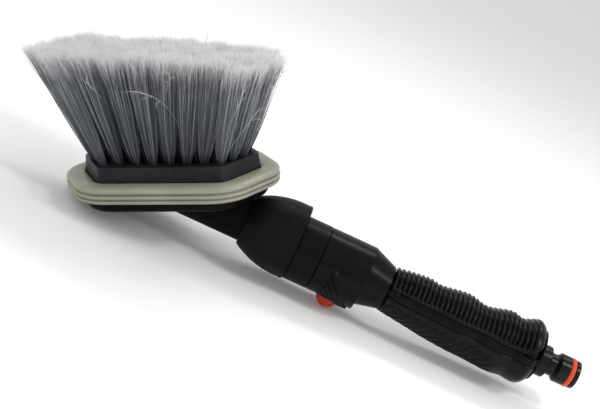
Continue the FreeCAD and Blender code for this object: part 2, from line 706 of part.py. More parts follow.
def valve_block():
    """A tube along the handle crossed by the spool's upright barrel."""
    tube = turned("valve_tube", along([("block_tube_back", "0"),
                                       ("block_tube_back", "block_tube_radius"),
                                       ("block_tube_front", "block_tube_radius"),
                                       ("block_tube_front", "0")]))
    barrel = turned("valve_barrel", [("0", "-barrel_bottom"), ("barrel_radius", "-barrel_bottom"),
                                     ("barrel_radius", "barrel_top"), ("0", "barrel_top")],
                    upright="button_back")
    both = doc.addObject("Part::Fuse", "valve_solid")
    both.Base = tube
    both.Tool = barrel
    flow = turned("valve_flow", along([("block_tube_back + 1", "0"),
                                       ("block_tube_back + 1", "channel_radius - 0.4"),
                                       ("block_tube_front + 6", "channel_radius - 0.4"),
                                       ("block_tube_front + 6", "tube_radius + 0.03"),
                                       ("block_tube_front - 1", "tube_radius + 0.03"),
                                       ("block_tube_front - 1", "0")]))
    bore = turned("spool_bore", [("0", "-barrel_bottom - 1"), ("spool_radius + running_gap",
                                                               "-barrel_bottom - 1"),
                                 ("spool_radius + running_gap", "bore_top"), ("0", "bore_top")],
                  upright="button_back")
    first = doc.addObject("Part::Cut", "valve_with_flow")
    first.Base = both
    first.Tool = flow
    second = doc.addObject("Part::Cut", "valve_with_bore")
    second.Base = first
    second.Tool = bore
    behind, ahead = "block_tube_back - 3", "block_tube_back - 5"
    low, high = "block_tube_radius - 1.3", "block_tube_radius + 1"
    groove = turned("ring_seal_groove", along([(behind, low), (behind, high), (ahead, high),
                                               (ahead, low)]))
    last = doc.addObject("Part::Cut", "valve_block")
    last.Base = second
    last.Tool = groove
    return keep(last, "valve_block")


def inlet_tube():
    back = "block_tube_front + 5.9"
    front = "nipple_tail - 8"
    outline = [(back, "tube_radius - tube_wall"), (back, "tube_radius"), (front, "tube_radius"),
               (front, "tube_radius - tube_wall")]
    return keep(turned("inlet_tube", along(outline)), "inlet_tube")


def hose_nipple():
    """Front land, seal groove, latch collar, neck, stop flange and the tail inside the handle."""
    outline = [("0", "nipple_bore"), ("0", "land_radius - 0.5"), ("0.4", "land_radius"),
               ("land_back", "land_radius"),
               ("land_back", "seal_groove_radius"), ("latch_front", "seal_groove_radius"),
               ("latch_front", "latch_radius"), ("latch_back - 1.4", "latch_radius"),
               ("latch_back", "nipple_neck_radius + 0.7"),
               ("latch_back + 0.7", "nipple_neck_radius"), ("stop_front - 0.6", "nipple_neck_radius"),
               ("stop_front", "stop_radius - 0.5"), ("stop_front + 0.5", "stop_radius"),
               ("stop_back", "stop_radius"),
               ("stop_back", "core_bore - 1.6"), ("butt_back + 1", "core_bore - 1.6"),
               ("butt_back + 1", "core_bore - 0.05"),
               ("nipple_tail", "core_bore - 0.05"), ("nipple_tail", "tube_radius + 0.03"),
               ("nipple_tail - 8.1", "tube_radius + 0.03"), ("nipple_tail - 8.1", "nipple_bore")]
    return keep(turned("hose_nipple", along(outline)), "hose_nipple")


def nipple_washer():
    outline = [("stop_back", "core_bore - 1.5"), ("stop_back", "stop_radius + 0.4"),
               ("butt_back", "stop_radius + 0.4"),
               ("butt_back", "core_bore - 1.5")]
    return keep(turned("nipple_washer", along(outline)), "nipple_washer")


def inlet_filter():
    """A round strainer with a ring of holes about a centre hole."""
    body = doc.addObject("PartDesign::Body", "inlet_filter")
    disc_plan = new_sketch(body, "filter_plan", "YZ_Plane")
    disc_plan.addGeometry(Part.Circle(Vector(), Vector(0, 0, 1), size("nipple_bore") - 0.02), False)
    disc = body.newObject("PartDesign::Pad", "filter_disc")
    disc.Profile = disc_plan
    disc.setExpression("Length", bound("filter_thickness"))
    doc.recompute()
    hole_plan = new_sketch(body, "filter_holes", "YZ_Plane")
    hole_plan.addGeometry(Part.Circle(Vector(), Vector(0, 0, 1), 0.7), False)
    for step in range(8):
        turn = step * math.pi / 4
        spot = Vector(2.9 * math.cos(turn), 2.9 * math.sin(turn), 0)
        hole_plan.addGeometry(Part.Circle(spot, Vector(0, 0, 1), 0.7), False)
    holes = body.newObject("PartDesign::Pocket", "filter_cut")
    holes.Profile = hole_plan
    holes.Reversed = True
    holes.setExpression("Length", bound("filter_thickness"))
    body.setExpression("Placement.Base.x", bound("-filter_back"))
    return keep(body, "inlet_filter")


block()
bumper()
gasket()
back_shell()
shell_screws()
tuft_rows()
swivel_spigot()
rings("spigot_o_rings", [(size("spigot_front") + 9, 0), (size("spigot_front") + 4, 0)],
      size("spigot_radius") - 0.88, size("seal_radius") - 0.02, size("swivel_height"))
lock_collar()
friction_washer()
front_ring()
outer_form = shape_object("grip_outer", grip_solid())
core_form = shape_object("grip_core", grip_solid(size("pad_thickness")))
handle_body(outer_form, grip_pads(outer_form, core_form))
button_parts()
valve_block()
rings("ring_seal", [(size("block_tube_back") - 4, 0)], size("block_tube_radius") - 0.4, 0.4, 0)
inlet_tube()
hose_nipple()
rings("nipple_o_ring", [((size("land_back") + size("latch_front")) / 2, 0)], size("nipple_seal_ring"),
      size("nipple_seal_section"), 0)
nipple_washer()
inlet_filter()
doc.recompute()

for item in doc.Objects:
    if "Invalid" in item.State or "Error" in item.State:
        raise RuntimeError(item.Name + " failed: " + ", ".join(item.State))
for name in labels:
    piece = doc.getObject(name)
    if piece.Shape.isNull() or not piece.Shape.isValid():
        raise RuntimeError(piece.Label + " has no valid shape")
    piece.Shape.exportStep("parts/%s.step" % piece.Label)
    print(piece.Label, round(piece.Shape.Volume, 1), len(piece.Shape.Solids))
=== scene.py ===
import math
import random

import bpy
from mathutils import Matrix, Vector


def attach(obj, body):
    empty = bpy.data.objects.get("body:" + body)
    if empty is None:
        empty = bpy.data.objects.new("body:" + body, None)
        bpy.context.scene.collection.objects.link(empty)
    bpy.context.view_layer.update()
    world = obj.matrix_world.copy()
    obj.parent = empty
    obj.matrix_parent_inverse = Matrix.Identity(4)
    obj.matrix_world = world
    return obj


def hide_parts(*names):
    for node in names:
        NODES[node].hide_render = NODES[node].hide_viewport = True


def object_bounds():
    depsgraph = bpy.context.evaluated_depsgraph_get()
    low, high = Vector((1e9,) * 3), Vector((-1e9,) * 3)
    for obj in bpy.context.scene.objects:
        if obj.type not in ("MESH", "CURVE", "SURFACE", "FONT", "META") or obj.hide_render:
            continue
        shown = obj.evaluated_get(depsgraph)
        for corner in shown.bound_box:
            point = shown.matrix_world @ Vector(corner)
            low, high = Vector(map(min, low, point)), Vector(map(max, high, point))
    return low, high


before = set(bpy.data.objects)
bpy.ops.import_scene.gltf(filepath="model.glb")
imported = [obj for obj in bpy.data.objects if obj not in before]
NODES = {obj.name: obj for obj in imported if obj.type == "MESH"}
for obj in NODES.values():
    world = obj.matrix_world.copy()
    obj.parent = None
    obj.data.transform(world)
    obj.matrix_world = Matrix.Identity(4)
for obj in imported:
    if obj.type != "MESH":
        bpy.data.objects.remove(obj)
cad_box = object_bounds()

MM = 0.001

# ------------------------------------------------------------------ the head's own leaning axes

# the block's plane rises towards the handle; its centre is given in millimetres
HEAD_LEAN = math.radians(26.7)
HEAD_CENTRE = Vector((-270.9, 0.0, 19.8)) * MM
ALONG = Vector((math.cos(HEAD_LEAN), 0, math.sin(HEAD_LEAN)))
ACROSS = Vector((0, 1, 0))
UP = Vector((-math.sin(HEAD_LEAN), 0, math.cos(HEAD_LEAN)))


def head_point(along, across, up):
    """A point of the leaning head, in millimetres on its own axes, as metres in the row's frame."""
    return HEAD_CENTRE + (ALONG * along + ACROSS * across + UP * up) * MM


# ------------------------------------------------------------------ materials


def nodes_of(name):
    material = bpy.data.materials.new(name)
    material.use_nodes = True
    tree = material.node_tree
    return material, tree, tree.nodes["Principled BSDF"]


def link(tree, source, output, target, slot):
    tree.links.new(source.outputs[output], target.inputs[slot])


def noise(tree, scale, detail, rough):
    place = tree.nodes.new("ShaderNodeTexCoord")
    texture = tree.nodes.new("ShaderNodeTexNoise")
    texture.inputs["Scale"].default_value = scale
    texture.inputs["Detail"].default_value = detail
    texture.inputs["Roughness"].default_value = rough
    link(tree, place, "Object", texture, "Vector")
    return texture


def ramp(tree, source, stops):
    """A colour ramp over a node's Fac output; each stop is a place and a colour."""
    made = tree.nodes.new("ShaderNodeValToRGB")
    while len(made.color_ramp.elements) < len(stops):
        made.color_ramp.elements.new(0.5)
    for element, (place, colour) in zip(made.color_ramp.elements, stops):
        element.position = place
        element.color = (*colour, 1)
    link(tree, source, "Fac", made, "Fac")
    return made


def grey(value):
    return (value, value, value)


# the stretch of the noise over which the worn colour and the rougher gloss come in
WEAR_FROM, WEAR_TO = 0.38, 0.72
GLOSS_FROM, GLOSS_TO = 0.35, 0.68
# smears in the gloss are this many times finer than the clouds of wear
SMEAR_FINENESS = 2.3
GRAIN_DEPTH = 0.3 * MM


def moulded(name, colour, wear, rough_low, rough_high, grain, bump, specular=0.5, wear_scale=35):
    """Moulded plastic or rubber: a base colour clouded by wear, a grain, and uneven gloss."""
    material, tree, shader = nodes_of(name)
    cloud = noise(tree, wear_scale, detail=6, rough=0.6)
    tint = ramp(tree, cloud, [(WEAR_FROM, colour), (WEAR_TO, wear)])
    link(tree, tint, "Color", shader, "Base Color")
    smear = noise(tree, wear_scale * SMEAR_FINENESS, detail=5, rough=0.65)
    gloss = ramp(tree, smear, [(GLOSS_FROM, grey(rough_low)), (GLOSS_TO, grey(rough_high))])
    link(tree, gloss, "Color", shader, "Roughness")
    fine = noise(tree, grain, detail=3, rough=0.5)
    raised = tree.nodes.new("ShaderNodeBump")
    raised.inputs["Strength"].default_value = bump
    raised.inputs["Distance"].default_value = GRAIN_DEPTH
    link(tree, fine, "Fac", raised, "Height")
    link(tree, raised, "Normal", shader, "Normal")
    shader.inputs["Specular IOR Level"].default_value = specular
    return material


# colours along a filament from root to tip, for the darkest and the palest kind
DARK_FILAMENT = [(0.0, (0.020, 0.022, 0.028)), (0.25, (0.038, 0.043, 0.055)),
                 (0.62, (0.072, 0.081, 0.100)), (0.80, (0.19, 0.20, 0.23)),
                 (0.90, (0.55, 0.55, 0.56)), (1.0, (0.86, 0.85, 0.85))]
PALE_FILAMENT = [(0.0, (0.20, 0.21, 0.23)), (0.3, (0.36, 0.38, 0.42)),
                 (0.75, (0.56, 0.58, 0.61)), (1.0, (0.90, 0.89, 0.89))]
# the Mix node keeps a set of sockets for each kind of data; these are the ones for colours
MIX_COLOUR_A, MIX_COLOUR_B, MIX_COLOUR_OUT = 6, 7, 2


def bristle_material():
    """Filaments: dark slate at the root, silver at the flagged tips, each fibre its own shade; painted
    backlight pales the tufts towards the toe and the heel.
    """
    material, tree, shader = nodes_of("bristle_filament")
    along = tree.nodes.new("ShaderNodeAttribute")
    along.attribute_name = "along"
    dark = ramp(tree, along, DARK_FILAMENT)
    pale = ramp(tree, along, PALE_FILAMENT)
    shade = tree.nodes.new("ShaderNodeAttribute")
    shade.attribute_name = "shade"
    mix = tree.nodes.new("ShaderNodeMix")
    mix.data_type = "RGBA"
    link(tree, shade, "Fac", mix, "Factor")
    link(tree, dark, "Color", mix, MIX_COLOUR_A)
    link(tree, pale, "Color", mix, MIX_COLOUR_B)
    link(tree, mix, MIX_COLOUR_OUT, shader, "Base Color")
    shader.inputs["Roughness"].default_value = 0.42
    shader.inputs["Specular IOR Level"].default_value = 0.45
    return material


# key: name, colour, worn colour, lowest and highest roughness, grain, bump, specular, scale of the wear
MATERIALS = {
    "block": moulded("block_plastic", (0.010, 0.0095, 0.012), (0.024, 0.023, 0.027),
                     0.36, 0.55, 2600, 0.12, 0.16),
    "bumper": moulded("bumper_rubber", (0.265, 0.265, 0.205), (0.335, 0.335, 0.27),
                      0.28, 0.42, 1900, 0.07, 0.40, 22),
    "shell": moulded("shell_plastic", (0.0026, 0.0020, 0.0028), (0.0050, 0.0042, 0.0052),
                     0.40, 0.56, 2400, 0.12, 0.05),
    "collar": moulded("collar_plastic", (0.0030, 0.0024, 0.0032), (0.0070, 0.0062, 0.0074),
                      0.34, 0.50, 3000, 0.20, 0.08),
    "ring": moulded("ring_plastic", (0.0026, 0.0020, 0.0028), (0.0050, 0.0042, 0.0052),
                    0.26, 0.40, 2200, 0.08, 0.09),
    "handle": moulded("handle_plastic", (0.0024, 0.0018, 0.0026), (0.0046, 0.0038, 0.0048),
                      0.20, 0.33, 2000, 0.05, 0.11),
    "grip": moulded("grip_rubber", (0.0024, 0.0018, 0.0026), (0.0048, 0.0042, 0.0052),
                    0.20, 0.32, 2600, 0.08, 0.15),
    "nipple": moulded("nipple_plastic", (0.0030, 0.0028, 0.0036), (0.0075, 0.0070, 0.0085),
                      0.17, 0.30, 1800, 0.05, 0.20),
    "inner": moulded("inner_plastic", (0.05, 0.05, 0.055), (0.08, 0.08, 0.085),
                     0.40, 0.60, 1800, 0.10, 0.3),
    "seal": moulded("seal_rubber", (0.008, 0.008, 0.008), (0.014, 0.014, 0.014),
                    0.45, 0.65, 2600, 0.12, 0.15),
    "orange": moulded("orange_rubber", (0.58, 0.055, 0.010), (0.68, 0.085, 0.018),
                      0.28, 0.42, 1500, 0.05, 0.35),
    "button": moulded("orange_plastic", (0.42, 0.022, 0.006), (0.52, 0.040, 0.012),
                      0.24, 0.36, 1400, 0.04, 0.35),
    "steel": moulded("screw_steel", (0.52, 0.52, 0.53), (0.62, 0.62, 0.63),
                     0.28, 0.45, 2000, 0.08),
}
MATERIALS["steel"].node_tree.nodes["Principled BSDF"].inputs["Metallic"].default_value = 1.0
MATERIALS["bristle"] = bristle_material()

FINISHES = {
    "brush_block": "block", "back_shell": "shell", "chamber_gasket": "seal", "shell_screws": "steel",
    "swivel_spigot": "inner", "spigot_o_rings": "seal", "lock_collar": "collar", "friction_washer": "inner",
    "front_ring": "ring", "handle_body": "handle", "button_bezel": "ring", "valve_block": "inner",
    "valve_spring": "steel", "ring_seal": "seal", "inlet_tube": "inner", "hose_nipple": "nipple",
    "nipple_o_ring": "orange", "nipple_washer": "seal", "inlet_filter": "inner", "valve_button": "button",
    "valve_spool": "inner", "spool_o_rings": "seal",
}


def finish_cad(node, key):
    mesh = NODES[node].data
    mesh.materials.clear()
    mesh.materials.append(MATERIALS[key])


# ------------------------------------------------------------------ mesh building


def piece(name, points, faces, key, body):
    """A smooth-shaded mesh that rides on a body."""
    mesh = bpy.data.meshes.new(name)
    mesh.from_pydata(points, [], faces)
    mesh.materials.append(MATERIALS[key])
    mesh.polygons.foreach_set("use_smooth", [True] * len(mesh.polygons))
    mesh.update()
    made = bpy.data.objects.new(name, mesh)
    bpy.context.scene.collection.objects.link(made)
    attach(made, body)
    return made


def ring_loft(loops):
    """Points and faces of a ring of equal loops, each closed on itself, the last joined to the first."""
    points = [spot for loop in loops for spot in loop]
    size = len(loops[0])
    faces = []
    for i in range(len(loops)):
        a, b = i * size, ((i + 1) % len(loops)) * size
        for j in range(size):
            k = (j + 1) % size
            faces.append((a + j, a + k, b + k, b + j))
    return points, faces


# ------------------------------------------------------------------ bumper

# the block's plan, a long hexagon: half of its length, of its long sides and of its width
HALF_LENGTH, HALF_EDGE, HALF_WIDTH = 51.7, 35.2, 29.4
SLANT = math.hypot(HALF_WIDTH, HALF_LENGTH - HALF_EDGE)


def hexagon(offset):
    """The block's plan moved outwards: toe and heel vertices and the ends of the long sides."""
    length = HALF_LENGTH + offset * SLANT / HALF_WIDTH
    edge = HALF_EDGE + offset * (SLANT - HALF_LENGTH + HALF_EDGE) / HALF_WIDTH
    width = HALF_WIDTH + offset
    return [(length, 0), (edge, width), (-edge, width), (-length, 0), (-edge, -width), (edge, -width)]


ARC_STEPS, SIDE_STEPS = 20, 6


def rounded(corners, radius):
    """A closed polygon with rounded corners, with the same count of points for any size."""
    points = []
    count = len(corners)
    for i in range(count):
        here = Vector(corners[i])
        before = (Vector(corners[i - 1]) - here).normalized()
        after = (Vector(corners[(i + 1) % count]) - here).normalized()
        half = before.angle(after) / 2
        back_off = radius / math.tan(half)
        start = here + before * back_off
        centre = here + (before + after).normalized() * radius / math.sin(half)
        spoke = start - centre
        turn = math.pi - 2 * half
        for step in range(ARC_STEPS + 1):
            angle = turn * step / ARC_STEPS
            points.append(centre + Matrix.Rotation(angle, 2) @ spoke)
        end = points[-1]
        onward = Vector(corners[(i + 1) % count])
        next_before = (here - onward).normalized()
        next_after = (Vector(corners[(i + 2) % count]) - onward).normalized()
        next_half = next_before.angle(next_after) / 2
        arrive = onward + next_before * radius / math.tan(next_half)
        for step in range(1, SIDE_STEPS):
            points.append(end.lerp(arrive, step / SIDE_STEPS))
    return points


def smooth_profile(corners, steps):
    """Catmull-Rom points through a closed profile."""
    count = len(corners)
    made = []
    for i in range(count):
        p0, p1, p2, p3 = (Vector(corners[(i + k - 1) % count]) for k in range(4))
        for step in range(steps):
            t = step / steps
            made.append(0.5 * ((2 * p1) + (p2 - p0) * t + (2 * p0 - 5 * p1 + 4 * p2 - p3) * t * t
                               + (3 * p1 - p0 - 3 * p2 + p3) * t ** 3))
    return made


# the guard's section, with its two narrow grooves: the distance out from the block's plan, and the level
BUMPER_SECTION = [(1.6, -9.2), (2.6, -8.3), (5.0, -7.9), (8.5, -7.9), (11.0, -8.4), (12.5, -9.4),
                  (13.0, -10.5), (12.7, -11.4), (11.6, -11.9), (11.3, -12.2), (11.6, -12.5),
                  (12.8, -12.9), (13.3, -13.7), (12.8, -14.5), (11.7, -14.9), (11.4, -15.15),
                  (11.7, -15.4), (12.7, -15.8), (12.9, -16.5), (12.2, -17.4), (10.6, -18.0),
                  (7.5, -18.3), (3.5, -18.4), (1.8, -17.8), (1.5, -15.0), (1.5, -12.0)]
PROFILE_STEPS = 3
# the plan's corner radius at the block, and its growth with each millimetre outwards
CORNER_RADIUS, CORNER_GROWTH = 6.0, 1.5


def bumper():
    """A soft guard: a rounded section with two narrow grooves, drawn round the block."""
    loops = []
    for offset, level in smooth_profile(BUMPER_SECTION, PROFILE_STEPS):
        outline = rounded(hexagon(offset), CORNER_RADIUS + CORNER_GROWTH * offset)
        loops.append([head_point(spot.x, spot.y, level) for spot in outline])
    points, faces = ring_loft(loops)
    made = piece("bumper_guard", points, faces, "bumper", "head")
    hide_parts("bumper")


# ------------------------------------------------------------------ bristles

# holes along the head's length and across its width; the heel is the end beside the handle
TUFT_PITCH, ROW_PITCH = 9.6, 7.5
# the fibres shorten towards the heel and lengthen towards the toe, as a share of their length
BRISTLE_LENGTH, HEEL_SLOPE, TOE_SLOPE = 62.5, 0.14, 0.09
TOE_LEAN, HEEL_LEAN, SIDE_LEAN = math.radians(26), math.radians(22), math.radians(5)
# each row: its place across the head in row pitches, and its count of tufts
ROWS = [(-3, 8), (-2, 9), (-1, 10), (0, 9), (1, 10), (2, 9), (3, 8)]
FIRST_SEED = 400
FIBRES = 255
HOLE_RADIUS, HOLE_DEPTH = 2.05, 1.0
# a tuft opens out towards its tips by these shares of the fibre's place in the hole, along and across
# the head
FLARE_ALONG, FLARE_ACROSS, FLARE_POWER = 2.9, 2.0, 0.65
STALK_WIDTH, STALK_SPANS = 0.29 * MM, 5
# each fibre splits near this share of its length into finer ends
SPLIT_AT, SPLIT_SPREAD, SPLIT_ENDS = 0.74, 0.07, 3
SPLIT_WIDTHS = [0.22 * MM, 0.19 * MM, 0.10 * MM]
# the middle and spread of the shades of dark and pale fibres, and the share of dark ones
DARK_SHADE, PALE_SHADE, DARK_SHARE = (0.14, 0.12), (0.66, 0.2), 0.76


class Tubes:
    """Collects thin three-sided tubes with a place along the fibre and a shade per fibre."""

    # a direction that no fibre runs in, to set its cross-section square to it
    ASIDE = Vector((0.3, 1.0, 0.2))

    def __init__(self):
        self.points, self.faces, self.along, self.shade = [], [], [], []

    def add(self, line, widths, along, shade, spin):
        base = len(self.points)
        for i, spot in enumerate(line):
            ahead = line[min(i + 1, len(line) - 1)] - line[max(i - 1, 0)]
            side = ahead.cross(self.ASIDE).normalized()
            other = ahead.cross(side).normalized()
            for corner in range(3):
                angle = spin + corner * math.tau / 3
                reach = widths[i] / 2
                self.points.append(spot + (side * math.cos(angle) + other * math.sin(angle)) * reach)
                self.along.append(along[i])
                self.shade.append(shade)
        for i in range(len(line) - 1):
            a = base + i * 3
            for corner in range(3):
                b = (corner + 1) % 3
                self.faces.append((a + corner, a + b, a + 3 + b, a + 3 + corner))
        last = base + (len(line) - 1) * 3
        self.faces.append((base + 2, base + 1, base))
        self.faces.append((last, last + 1, last + 2))


def disc(rng, radius):
    """A random place in a disc."""
    angle = rng.uniform(0, math.tau)
    reach = radius * math.sqrt(rng.random())
    return reach * math.cos(angle), reach * math.sin(angle)


def shift(along, across, up):
    """A step on the head's own axes."""
    return head_point(along, across, up) - HEAD_CENTRE


def shade_of(rng):
    """Most fibres are dark for most of their length, and about one in four is pale all along."""
    value = rng.gauss(*DARK_SHADE) if rng.random() < DARK_SHARE else rng.gauss(*PALE_SHADE)
    return min(1.0, max(0.0, value))


def fibre(tubes, rng, hole, lean, height, backlit_reach_and_tone, backlit_lift_and_tone):
    """One filament from its hole to a tip that splits into finer ends; the last two arguments are painted
    backlight with a random tone per tuft: one brings the paleness lower down the fibre, the other lightens
    its shade.
    """
    root_x, root_y = disc(rng, HOLE_RADIUS)
    widen = rng.uniform(0.8, 1.08)
    long = height * rng.gauss(1.0, 0.013)
    sway_x, sway_y = rng.gauss(0, 1.1), rng.gauss(0, 1.1)
    loose_x, loose_y = rng.gauss(0, 0.8), rng.gauss(0, 0.8)
    split = SPLIT_AT + rng.uniform(-SPLIT_SPREAD, SPLIT_SPREAD)
    halfway = (split + 1) / 2
    # the fibre's random shade, lightened by the painted backlight towards the heel
    shade = min(1.0, max(0.0, shade_of(rng) + backlit_lift_and_tone))

    def at(t):
        bow = math.sin(math.pi * t) * 0.5
        flare = t ** FLARE_POWER
        spread_x = root_x * (1 + FLARE_ALONG * widen * flare)
        spread_y = root_y * (1 + FLARE_ACROSS * widen * flare)
        bend_in = 0.9 + 0.1 * t
        x = hole[0] + spread_x + (lean[0] + loose_x) * t * bend_in + sway_x * bow
        y = hole[1] + spread_y + (lean[1] + loose_y) * t * bend_in + sway_y * bow
        return head_point(x, y, -HOLE_DEPTH + (long + HOLE_DEPTH) * t)

    # painted backlight: the pale colour comes further down the fibre
    def paleness(t):
        return t ** (1 - backlit_reach_and_tone)

    stalk = [split * i / STALK_SPANS for i in range(STALK_SPANS + 1)]
    tubes.add([at(t) for t in stalk], [STALK_WIDTH] * len(stalk), [paleness(t) for t in stalk], shade,
              rng.random() * 2)
    for _ in range(SPLIT_ENDS):
        end = at(1.0 - rng.uniform(0, 0.05))
        end += shift(rng.gauss(0, 1.15), rng.gauss(0, 1.15), rng.gauss(0, 0.4))
        bend = at(halfway) + shift(rng.gauss(0, 0.4), rng.gauss(0, 0.4), 0)
        tubes.add([at(split), bend, end], SPLIT_WIDTHS, [paleness(split), paleness(halfway), 1.0], shade,
                  rng.random() * 2)


STRAY_SPANS = 8
STRAY_WIDTH, STRAY_SHADE = 0.30 * MM, 0.85
STRAND_WIDTHS, STRAND_PALENESS, STRAND_SHADE = [0.22 * MM, 0.18 * MM, 0.10 * MM], [0.85, 0.92, 1.0], 0.8
# strands leave the stray from this many of its last points in turn
STRAND_STARTS = 4


def frayed(tubes, rng, root, knee, tip, strands, fan):
    """A stray filament that bends out of its tuft and ends in a burst of split strands."""
    line = []
    for i in range(STRAY_SPANS + 1):
        t = i / STRAY_SPANS
        spot = ((1 - t) ** 2 * a + 2 * t * (1 - t) * b + t * t * c for a, b, c in zip(root, knee, tip))
        line.append(head_point(*spot))
    paleness = [0.55 + 0.3 * i / STRAY_SPANS for i in range(STRAY_SPANS + 1)]
    tubes.add(line, [STRAY_WIDTH] * len(line), paleness, STRAY_SHADE, 0.0)
    heading = (line[-1] - line[-2]).normalized()
    for i in range(strands):
        start = line[-1 - i % STRAND_STARTS]
        side = shift(rng.gauss(0, 1), rng.gauss(0, 0.6), rng.gauss(0, 1)).normalized()
        reach = fan * rng.uniform(0.6, 1.1) * MM
        mid = start + (heading * 0.6 + side * 0.35) * reach
        end = start + (heading * 0.9 + side * rng.uniform(0.7, 1.1)) * reach
        tubes.add([start, mid, end], STRAND_WIDTHS, STRAND_PALENESS, STRAND_SHADE, rng.random())


# strays by row number: where each starts, bends and ends on the head's own axes, its count of strands and
# their length
STRAYS = {
    1: [((14.0, -22.5, 12.0), (12.0, -30.0, 40.0), (-7.0, -37.0, 45.0), 10, 5.5),
        ((36.0, -22.5, 4.0), (50.0, -30.0, 22.0), (58.0, -34.0, 32.0), 7, 5.0),
        ((32.0, -22.5, 8.0), (46.0, -30.0, 30.0), (52.0, -36.0, 44.0), 7, 5.0),
        ((-25.0, -22.5, 30.0), (-30.0, -31.0, 44.0), (-34.0, -35.0, 50.0), 6, 4.5),
        ((2.0, -22.5, 30.0), (10.0, -31.0, 46.0), (12.0, -35.0, 52.0), 6, 4.5)],
    3: [((40.0, -7.5, 10.0), (56.0, -9.0, 28.0), (69.0, -12.0, 48.0), 8, 5.5)],
    4: [((-2.0, 0.0, 40.0), (-4.0, 0.0, 60.0), (-1.0, 1.0, 65.0), 6, 4.0),
        ((-33.0, 0.0, 30.0), (-60.0, 0.0, 50.0), (-72.0, -2.0, 60.0), 6, 4.5),
        ((38.0, 0.0, 30.0), (56.0, -2.0, 48.0), (66.0, -5.0, 58.0), 7, 4.5)],
    6: [((-12.0, 15.0, 40.0), (-22.0, 18.0, 58.0), (-30.0, 20.0, 64.0), 5, 4.5),
        ((14.0, 15.0, 40.0), (20.0, 18.0, 58.0), (22.0, 20.0, 64.0), 5, 4.0)],
}


def bristles():
    """Each row of tufts as one mesh of filaments, with the along and shade attributes the material reads."""
    for index, (row, count) in enumerate(ROWS, start=1):
        rng = random.Random(FIRST_SEED + index)
        tubes = Tubes()
        for number in range(count):
            hole = ((number - (count - 1) / 2) * TUFT_PITCH, row * ROW_PITCH)
            share = hole[0] / HALF_LENGTH
            slope, lean = (HEEL_SLOPE, HEEL_LEAN) if share > 0 else (TOE_SLOPE, TOE_LEAN)
            height = BRISTLE_LENGTH * (1 - slope * share) * rng.uniform(0.975, 1.02)
            lean_along = height * math.tan(lean) * share + rng.gauss(0, 0.8)
            lean_across = height * math.tan(SIDE_LEAN) * hole[1] / HALF_WIDTH + rng.gauss(0, 0.6)
            # painted backlight: towards the toe and the heel, where light shines through the tufts, the pale
            # colour reaches further down each fibre; the rest is a random tone per tuft
            backlit_reach_and_tone = 0.55 * max(0.0, abs(share + 0.05) - 0.35) + rng.uniform(-0.05, 0.12)
            # painted backlight: fibres grow lighter towards the heel, where light shines through the tufts;
            # the rest is a random tone per tuft
            backlit_lift_and_tone = 0.16 * max(0.0, share) + rng.uniform(-0.07, 0.07)
            for _ in range(FIBRES):
                fibre(tubes, rng, hole, (lean_along, lean_across), height, backlit_reach_and_tone, backlit_lift_and_tone)
        for root, knee, tip, strands, fan in STRAYS.get(index, []):
            frayed(tubes, rng, root, knee, tip, strands, fan)
        name = "bristle_row_%d" % index
        made = piece(name, tubes.points, tubes.faces, "bristle", "head")
        for label, values in (("along", tubes.along), ("shade", tubes.shade)):
            layer = made.data.attributes.new(label, "FLOAT", "POINT")
            layer.data.foreach_set("value", values)
        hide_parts("tuft_row_%d" % index)


# ------------------------------------------------------------------ grip

# each station of the grip: X, reach above the axis, reach below it
STATIONS = [(-123.7, 13.5, 13.5), (-102.9, 16.1, 15.9), (-94.7, 15.1, 17.1), (-77.2, 17.4, 18.4),
            (-64.7, 15.3, 18.8), (-49.7, 18.9, 19.4), (-42.2, 17.6, 18.4), (-32.7, 20.9, 18.6),
            (-26.7, 17.2, 14.2)]
# both pads' ends, beside the barrel and beside the nipple, and the levels of the bare side band between them
PAD_BACK, PAD_FRONT = -122.7, -27.6
BAND_TOP, BAND_BOTTOM = 5.4, 0.8
# the grip's mean radius, which turns angles into lengths over the surface
MEAN_RADIUS = 17
# the pads' inner face lies this far under the grip's surface, and their edges are let into it
PAD_DEPTH = 2.1
EDGE_DROP, EDGE_ROUND, END_DROP, END_ROUND = 1.4, 0.9, 2.0, 0.6
DEEPEST_DROP = 2.0


def station_at(x):
    """Radii above and below the axis at X, eased through the stations."""
    last = len(STATIONS) - 1
    i = max(k for k in range(last) if STATIONS[k][0] <= x or k == 0)
    rows = [STATIONS[max(0, min(last, i + k - 1))] for k in range(4)]
    span = rows[2][0] - rows[1][0]
    t = min(1.0, max(0.0, (x - rows[1][0]) / span))
    made = []
    for column in (1, 2):
        in_slope = (rows[2][column] - rows[0][column]) / (rows[2][0] - rows[0][0]) * span
        out_slope = (rows[3][column] - rows[1][column]) / (rows[3][0] - rows[1][0]) * span
        a, b = rows[1][column], rows[2][column]
        made.append((2 * t ** 3 - 3 * t ** 2 + 1) * a + (t ** 3 - 2 * t ** 2 + t) * in_slope
                    + (3 * t ** 2 - 2 * t ** 3) * b + (t ** 3 - t ** 2) * out_slope)
    return made


def grip_point(x, angle, lift):
    """A point on the grip: the angle runs from the +Y side over the top; lift is outwards."""
    top, under = station_at(x)
    radius = (top + under) / 2 + lift
    centre = (top - under) / 2
    return Vector((x, radius * math.cos(angle), centre + radius * math.sin(angle))) * MM


def side_angle(x, level):
    """The angle at which the grip's side reaches a level."""
    top, under = station_at(x)
    return math.asin(max(-1, min(1, (level - (top - under) / 2) / ((top + under) / 2))))


def step_between(low, high, value):
    """Eases from 0 at low to 1 at high."""
    t = min(1.0, max(0.0, (value - low) / (high - low)))
    return t * t * (3 - 2 * t)


